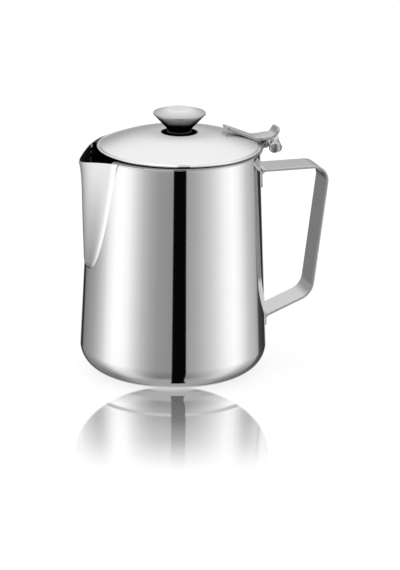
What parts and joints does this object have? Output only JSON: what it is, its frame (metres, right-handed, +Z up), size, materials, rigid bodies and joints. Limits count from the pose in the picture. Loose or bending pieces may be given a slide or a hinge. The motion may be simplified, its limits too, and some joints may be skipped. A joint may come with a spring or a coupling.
{
  "type": "hot milk jug with lid",
  "caption": "Stainless steel milk jug with a welded pouring spout, a bent strip handle and a hinged domed lid with a knob and thumb lever.",
  "frame": {"origin": "centre of the flat base, on the axis of the round body", "axes": "+Z up along the body's axis, +X towards the handle, -X towards the spout"},
  "size_m": [0.1499, 0.11, 0.1562],
  "materials": {
    "polished_steel": "mirror polished",
    "brushed_strip": "brushed along the strip",
    "plain_steel": "satin",
    "black_washer": "matt black"
  },
  "bodies": {
    "jug": {"body": "polished_steel", "spout": "polished_steel", "handle": "brushed_strip", "hinge_bracket": "plain_steel", "hinge_pin": "plain_steel"},
    "lid_assembly": {"lid": "polished_steel", "lid_ring": "plain_steel", "lid_lever": "polished_steel", "knob_cap": "polished_steel", "knob_cone": "polished_steel", "knob_washer": "black_washer", "knob_insert": "plain_steel", "knob_screw": "plain_steel", "screw_washer": "plain_steel"}
  },
  "joints": [
    {"name": "lid_hinge", "type": "hinge", "parent": "jug", "child": "lid_assembly", "pos_m": [0.0538, 0, 0.1324], "axis": [0, 1, 0], "range_deg": [0, 85]}
  ]
}
